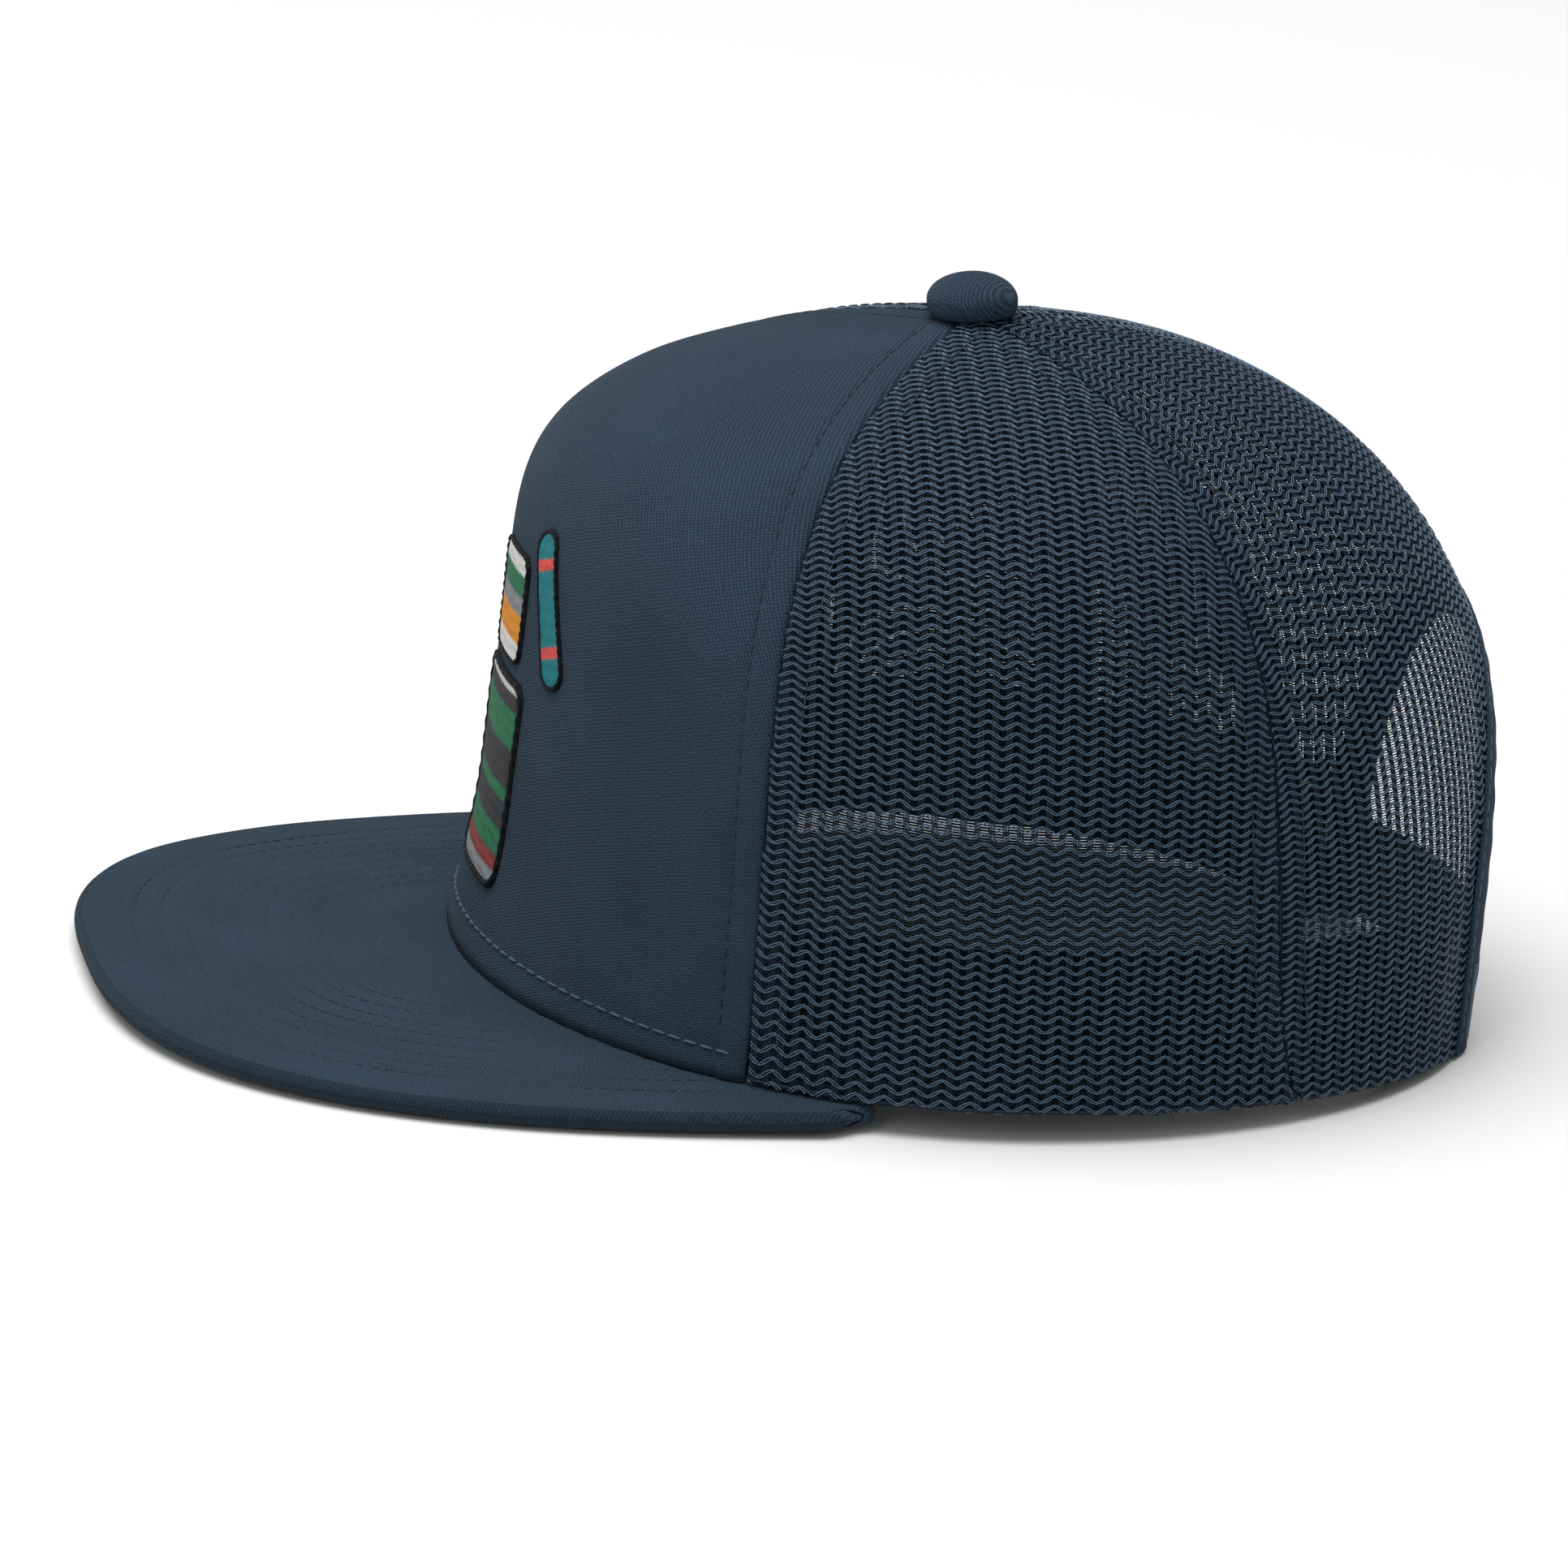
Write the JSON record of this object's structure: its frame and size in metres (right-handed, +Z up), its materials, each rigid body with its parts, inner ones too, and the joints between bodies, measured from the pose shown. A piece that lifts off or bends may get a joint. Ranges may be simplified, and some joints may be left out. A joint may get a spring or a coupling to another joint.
{
  "type": "trucker mesh cap",
  "caption": "Trucker cap with a padded cloth front, open mesh sides and back, a flat stitched visor, a cloth-covered button and a plastic snap closure under a rear arch.",
  "frame": {"origin": "centre of the head opening, on the plane that the cap stands on", "axes": "+Z up through the button, -Y towards the visor, +X towards the wearer's left"},
  "size_m": [0.1816, 0.266, 0.1387],
  "materials": {
    "front_cloth": "tight navy cotton blend",
    "buckram": "stiff woven backing",
    "mesh": "knitted navy mesh",
    "seam_tape": "woven navy tape",
    "sweatband_cloth": "dark navy twill",
    "interlining": "soft felt",
    "visor_cloth": "navy twill with stitched rows",
    "visor_board": "smooth sheet",
    "button_cloth": "navy twill",
    "button_metal": "plain pressed metal",
    "strap_plastic": "satin moulded plastic",
    "thread": "navy thread",
    "patch_thread": "green satin stitch",
    "bar_thread": "orange satin stitch",
    "pill_thread": "teal satin stitch"
  },
  "bodies": {
    "cap": {"front_panel": "front_cloth", "front_buckram": "buckram", "left_side_mesh_panel": "mesh", "right_side_mesh_panel": "mesh", "left_back_mesh_panel": "mesh", "right_back_mesh_panel": "mesh", "front_left_seam_tape": "seam_tape", "front_right_seam_tape": "seam_tape", "side_left_seam_tape": "seam_tape", "side_right_seam_tape": "seam_tape", "back_centre_seam_tape": "seam_tape", "arch_binding": "seam_tape", "sweatband": "sweatband_cloth", "sweatband_interlining": "interlining", "visor_top_cloth": "visor_cloth", "visor_board": "visor_board", "visor_under_cloth": "visor_cloth", "button_cover": "button_cloth", "button_shell": "button_metal", "button_rivet": "button_metal", "button_washer": "button_metal", "hole_strap_tab": "strap_plastic", "peg_strap_tab": "strap_plastic", "left_strap_stitch": "thread", "right_strap_stitch": "thread", "embroidered_patch": "patch_thread", "embroidered_bar": "bar_thread", "embroidered_pill": "pill_thread"},
    "hole_strap": {"hole_strap": "strap_plastic"},
    "peg_strap": {"peg_strap": "strap_plastic"}
  },
  "joints": [
    {"name": "hole_strap_swing", "type": "hinge", "parent": "cap", "child": "hole_strap", "pos_m": [-0.036, 0.09368, 0.012], "axis": [0, 0, 1], "range_deg": [0, 60], "stiffness_Nm_per_rad": 0.02},
    {"name": "peg_strap_swing", "type": "hinge", "parent": "cap", "child": "peg_strap", "pos_m": [0.036, 0.09199, 0.012], "axis": [0, 0, 1], "range_deg": [0, 30], "stiffness_Nm_per_rad": 0.02}
  ]
}
